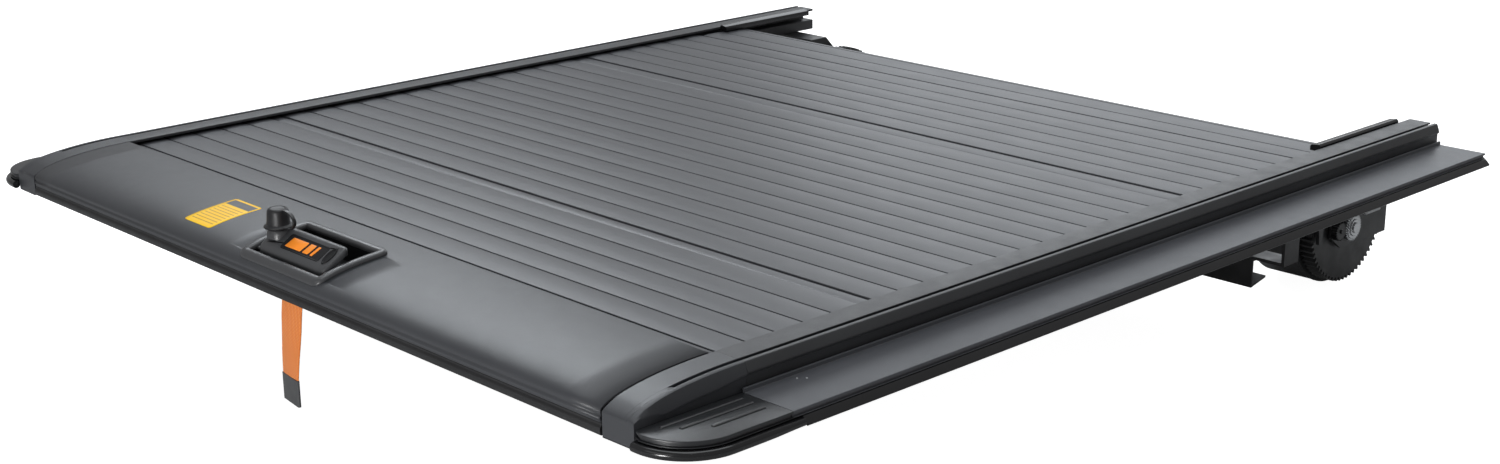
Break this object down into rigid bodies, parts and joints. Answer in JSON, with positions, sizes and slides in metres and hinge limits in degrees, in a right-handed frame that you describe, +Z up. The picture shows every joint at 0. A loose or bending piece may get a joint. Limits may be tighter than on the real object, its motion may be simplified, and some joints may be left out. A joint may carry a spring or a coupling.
{
  "type": "tonneau cover",
  "caption": "Roll-up truck bed cover with interlocking slats in side rails, a curved end bar with a locking paddle handle, and a winding drum.",
  "frame": {"origin": "on the truck's centre line, at the tailgate end, level with the top of the bed rails, which is the underside of the ledges", "axes": "+X to the truck's right side, +Y towards the cab along the curtain's travel, +Z up"},
  "size_m": [1.546, 1.699, 0.3172],
  "materials": {
    "powder_coat": "fine textured black powder coat on aluminium",
    "slat_coat": "satin textured black coat on aluminium",
    "moulded_black": "satin glass-filled nylon",
    "black_rubber": "semi-gloss rubber",
    "black_steel": "black e-coat on steel",
    "bright_steel": "zinc-plated",
    "orange_webbing": "woven polyester",
    "grey_tag": "sewn tag"
  },
  "bodies": {
    "rails": {"rail_right": "powder_coat", "rail_cap_right": "moulded_black", "ledge_right": "powder_coat", "ledge_corner_right": "moulded_black", "ledge_seal_right": "black_rubber", "rail_left": "powder_coat", "rail_cap_left": "moulded_black", "ledge_left": "powder_coat", "ledge_corner_left": "moulded_black", "ledge_seal_left": "black_rubber", "slat_01": "slat_coat", "slat_02": "slat_coat", "slat_03": "slat_coat", "slat_04": "slat_coat", "slat_05": "slat_coat", "slat_06": "slat_coat", "slat_07": "slat_coat", "slat_08": "slat_coat", "slat_09": "slat_coat", "slat_10": "slat_coat", "slat_11": "slat_coat", "slat_12": "slat_coat", "slat_13": "slat_coat", "slat_14": "slat_coat", "slat_15": "slat_coat", "slat_16": "slat_coat", "slat_17": "slat_coat", "slat_18": "slat_coat", "slat_19": "slat_coat", "slat_20": "slat_coat", "slat_21": "slat_coat", "slat_22": "slat_coat", "slat_23": "slat_coat", "slat_24": "slat_coat", "joint_strip_1": "slat_coat", "joint_strip_2": "slat_coat", "curtain_tail": "slat_coat", "guide_cup": "moulded_black", "cross_beam": "black_steel", "side_plate_right": "black_steel", "beam_hanger_right": "black_steel", "side_plate_left": "black_steel", "beam_hanger_left": "black_steel", "pawl_spring": "bright_steel"},
    "end_bar": {"end_bar": "powder_coat", "end_bar_seal": "black_rubber", "handle_bezel": "moulded_black", "paddle_pin": "bright_steel", "pull_strap": "orange_webbing", "strap_tag": "grey_tag"},
    "paddle": {"handle_paddle": "moulded_black"},
    "lock_barrel": {"lock_barrel": "bright_steel"},
    "dust_cap": {"dust_cap": "black_rubber"},
    "latch_right": {"latch_bolt_right": "bright_steel"},
    "latch_left": {"latch_bolt_left": "bright_steel"},
    "drum": {"drum": "black_steel", "drive_wheel_right": "moulded_black", "drive_wheel_left": "moulded_black"},
    "silver_gear": {"silver_gear": "bright_steel"},
    "black_gear": {"black_gear": "black_steel"}
  },
  "joints": [
    {"name": "curtain_slide", "type": "slide", "parent": "rails", "child": "end_bar", "axis": [0, 1, 0], "range_m": [0, 1.08], "deforming": ["slat_01", "slat_02", "slat_03", "slat_04", "slat_05", "slat_06", "slat_07", "slat_08", "slat_09", "slat_10", "slat_11", "slat_12", "slat_13", "slat_14", "slat_15", "slat_16", "slat_17", "slat_18", "slat_19", "slat_20", "slat_21", "slat_22", "slat_23", "slat_24", "joint_strip_1", "joint_strip_2"]},
    {"name": "paddle_lift", "type": "hinge", "parent": "end_bar", "child": "paddle", "pos_m": [0, 0.029, 0.027], "axis": [1, 0, 0], "range_deg": [0, 40], "stiffness_Nm_per_rad": 0.5},
    {"name": "lock_turn", "type": "hinge", "parent": "paddle", "child": "lock_barrel", "pos_m": [-0.051, 0.049, 0.05], "axis": [0, 0, 1], "range_deg": [0, 90]},
    {"name": "dust_cap_pull", "type": "slide", "parent": "paddle", "child": "dust_cap", "axis": [0, 0, 1], "range_m": [0, 0.03]},
    {"name": "latch_right_slide", "type": "slide", "parent": "end_bar", "child": "latch_right", "axis": [-1, 0, 0], "range_m": [0, 0.0125]},
    {"name": "latch_left_slide", "type": "slide", "parent": "end_bar", "child": "latch_left", "axis": [1, 0, 0], "range_m": [0, 0.0125]},
    {"name": "drum_spin", "type": "hinge", "parent": "rails", "child": "drum", "pos_m": [0, 1.582, -0.127], "axis": [1, 0, 0], "range_deg": [0, 585]},
    {"name": "silver_gear_spin", "type": "hinge", "parent": "rails", "child": "silver_gear", "pos_m": [0.57, 1.572, -0.141], "axis": [1, 0, 0], "range_deg": [-1170, 0]},
    {"name": "black_gear_spin", "type": "hinge", "parent": "rails", "child": "black_gear", "pos_m": [0.57, 1.53665, -0.141], "axis": [1, 0, 0], "range_deg": [0, 1808]}
  ],
  "couplings": [
    {"joint": "drum_spin", "follows": "curtain_slide", "rad_per_m": 9.434},
    {"joint": "silver_gear_spin", "follows": "curtain_slide", "rad_per_m": -18.868},
    {"joint": "black_gear_spin", "follows": "curtain_slide", "rad_per_m": 29.159},
    {"joint": "latch_right_slide", "follows": "paddle_lift", "m_per_rad": 0.0172},
    {"joint": "latch_left_slide", "follows": "paddle_lift", "m_per_rad": 0.0172}
  ]
}
